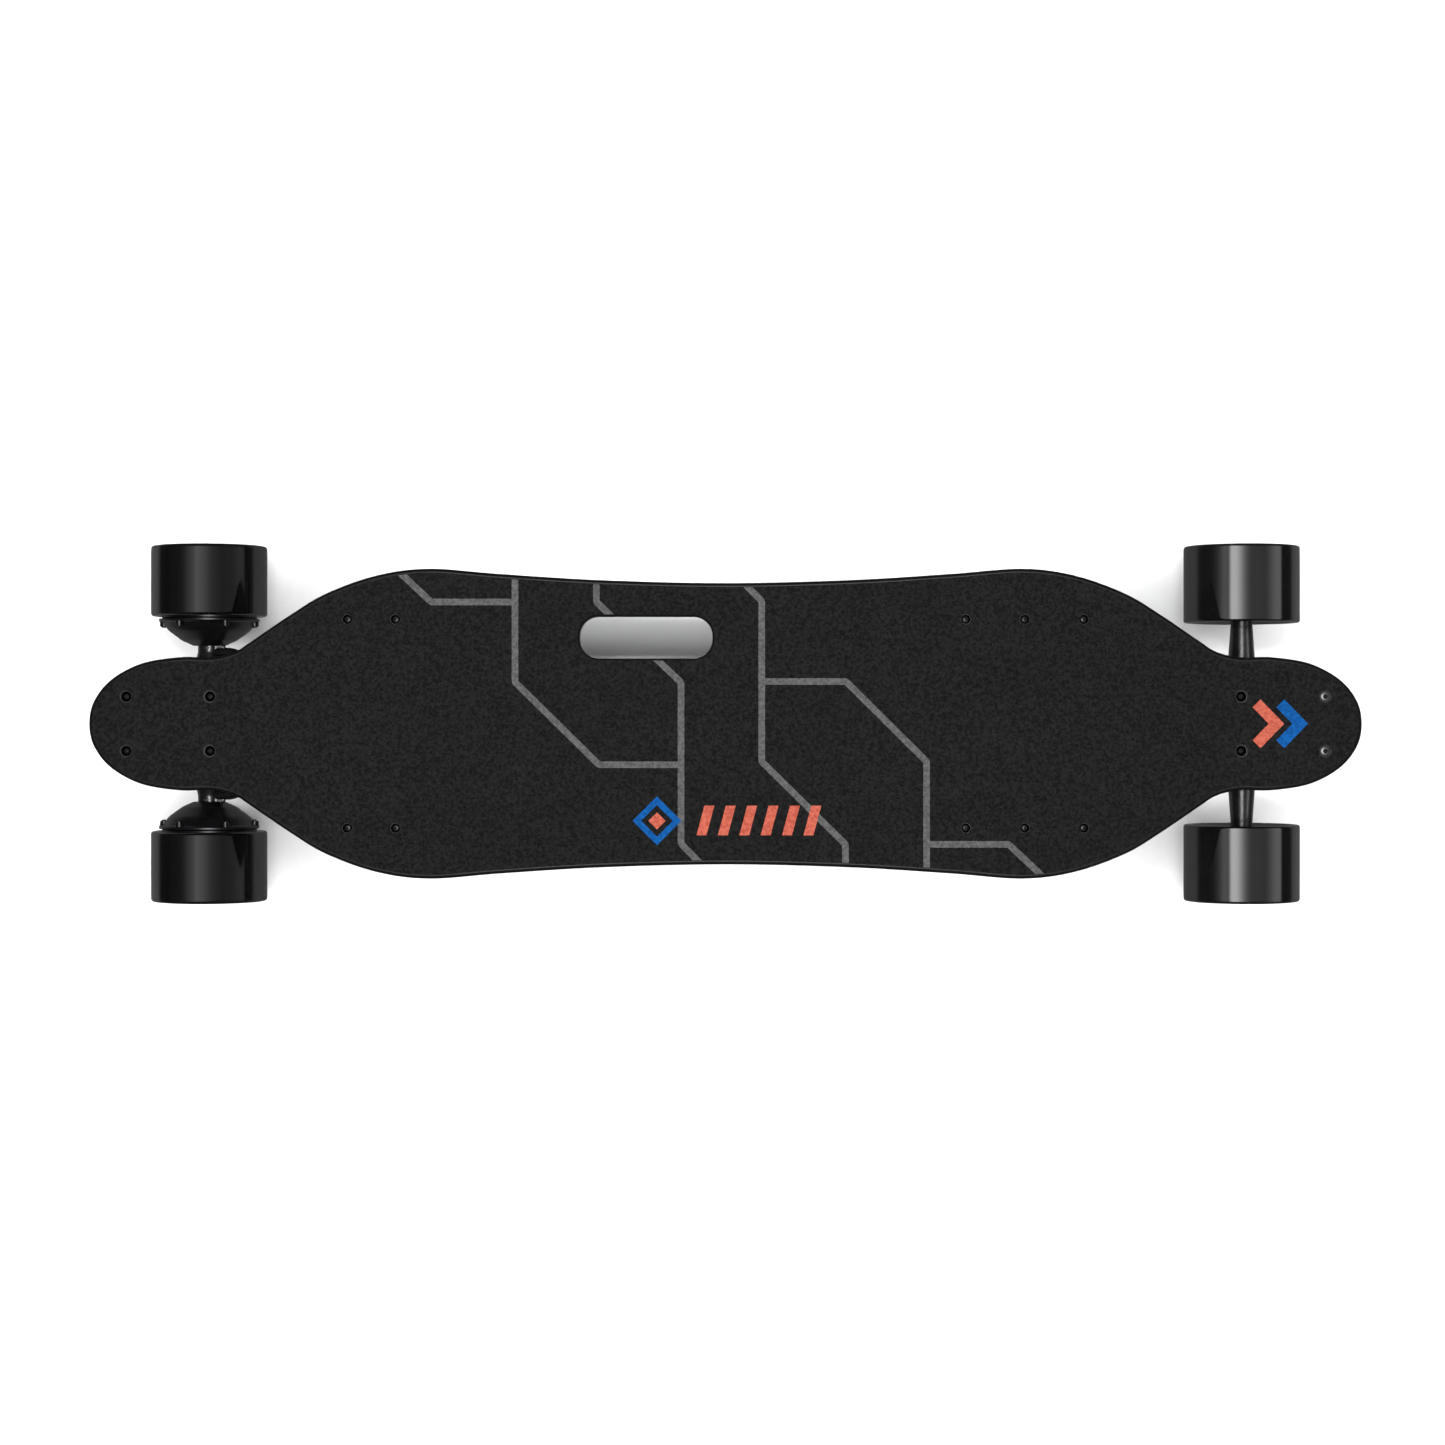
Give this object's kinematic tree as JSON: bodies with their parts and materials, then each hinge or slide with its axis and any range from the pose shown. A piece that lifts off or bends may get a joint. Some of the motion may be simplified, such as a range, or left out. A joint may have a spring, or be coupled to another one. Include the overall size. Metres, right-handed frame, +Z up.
{
  "type": "electric skateboard",
  "caption": "Electric longboard with a slotted deck, reverse-kingpin trucks, hub-motor rear wheels, and battery and controller housings under the deck.",
  "frame": {"origin": "on the ground under the centre of the deck", "axes": "+X forwards along the deck, +Y to the rider's left as seen facing forwards, +Z up"},
  "size_m": [0.965, 0.278, 0.1246],
  "materials": {
    "deck": "black lacquered veneer",
    "grip": "fine abrasive grit",
    "truck": "satin black powder coat",
    "steel": "zinc plated",
    "dark_steel": "black oxide",
    "tyre": "polished black urethane",
    "core": "moulded glass-filled nylon",
    "motor": "black anodised",
    "winding": "enamelled copper",
    "bushing": "cast urethane",
    "rubber": "moulded",
    "housing": "fine textured moulding",
    "cell_wrap": "heat-shrink wrap",
    "circuit": "solder mask",
    "cable": "extruded sheath"
  },
  "bodies": {
    "board": {"deck": "deck", "grip_tape": "grip", "front_riser_pad": "rubber", "front_baseplate": "truck", "front_pivot_cup": "bushing", "front_kingpin": "steel", "front_kingpin_nut": "steel", "front_boardside_washer": "steel", "front_boardside_bushing": "bushing", "front_roadside_bushing": "bushing", "front_roadside_washer": "steel", "rear_riser_pad": "rubber", "rear_baseplate": "truck", "rear_pivot_cup": "bushing", "rear_kingpin": "steel", "rear_kingpin_nut": "steel", "rear_boardside_washer": "steel", "rear_boardside_bushing": "bushing", "rear_roadside_bushing": "bushing", "rear_roadside_washer": "steel", "battery_case": "housing", "battery_pack": "cell_wrap", "battery_management_board": "circuit", "controller_case": "housing", "controller_board": "circuit", "charge_port": "dark_steel", "battery_cable": "cable", "cable_clip": "steel", "left_motor_cable": "cable", "right_motor_cable": "cable"},
    "front_truck": {"front_hanger": "truck", "front_axle": "steel", "front_left_axle_nut": "steel", "front_right_axle_nut": "steel"},
    "rear_truck": {"rear_hanger": "truck", "rear_axle": "steel", "rear_left_axle_nut": "steel", "rear_right_axle_nut": "steel", "rear_left_stator": "winding", "rear_right_stator": "winding"},
    "power_button": {"power_button": "steel"},
    "charge_cap": {"charge_port_cap": "rubber"},
    "front_left_wheel": {"front_left_tyre": "tyre", "front_left_core": "core", "front_left_inner_bearing": "steel", "front_left_outer_bearing": "steel"},
    "rear_left_wheel": {"rear_left_tyre": "tyre", "rear_left_rotor_can": "motor", "rear_left_rotor_cover": "motor", "rear_left_inner_bearing": "steel", "rear_left_outer_bearing": "steel"},
    "front_right_wheel": {"front_right_tyre": "tyre", "front_right_core": "core", "front_right_inner_bearing": "steel", "front_right_outer_bearing": "steel"},
    "rear_right_wheel": {"rear_right_tyre": "tyre", "rear_right_rotor_can": "motor", "rear_right_rotor_cover": "motor", "rear_right_inner_bearing": "steel", "rear_right_outer_bearing": "steel"}
  },
  "joints": [
    {"name": "front_steer", "type": "hinge", "parent": "board", "child": "front_truck", "pos_m": [0.4368, 0, 0.079], "axis": [0.7431, 0, 0.6691], "range_deg": [-16, 16], "stiffness_Nm_per_rad": 60, "deforming": ["front_boardside_bushing", "front_roadside_bushing"]},
    {"name": "rear_steer", "type": "hinge", "parent": "board", "child": "rear_truck", "pos_m": [-0.4368, 0, 0.079], "axis": [-0.7431, 0, 0.6691], "range_deg": [-16, 16], "stiffness_Nm_per_rad": 60, "deforming": ["rear_boardside_bushing", "rear_roadside_bushing", "left_motor_cable", "right_motor_cable"]},
    {"name": "front_left_spin", "type": "hinge", "parent": "front_truck", "child": "front_left_wheel", "pos_m": [0.4048, 0.109, 0.045], "axis": [0, 1, 0], "continuous": true},
    {"name": "front_right_spin", "type": "hinge", "parent": "front_truck", "child": "front_right_wheel", "pos_m": [0.4048, -0.109, 0.045], "axis": [0, 1, 0], "continuous": true},
    {"name": "rear_left_spin", "type": "hinge", "parent": "rear_truck", "child": "rear_left_wheel", "pos_m": [-0.4048, 0.1115, 0.045], "axis": [0, 1, 0], "continuous": true},
    {"name": "rear_right_spin", "type": "hinge", "parent": "rear_truck", "child": "rear_right_wheel", "pos_m": [-0.4048, -0.1115, 0.045], "axis": [0, 1, 0], "continuous": true},
    {"name": "power_press", "type": "slide", "parent": "board", "child": "power_button", "axis": [0, 1, 0], "range_m": [0, 0.0012], "stiffness_N_per_m": 2500},
    {"name": "charge_cap_hinge", "type": "hinge", "parent": "board", "child": "charge_cap", "pos_m": [0.1605, -0.0762, 0.095], "axis": [0, 0, -1], "range_deg": [0, 120]}
  ]
}
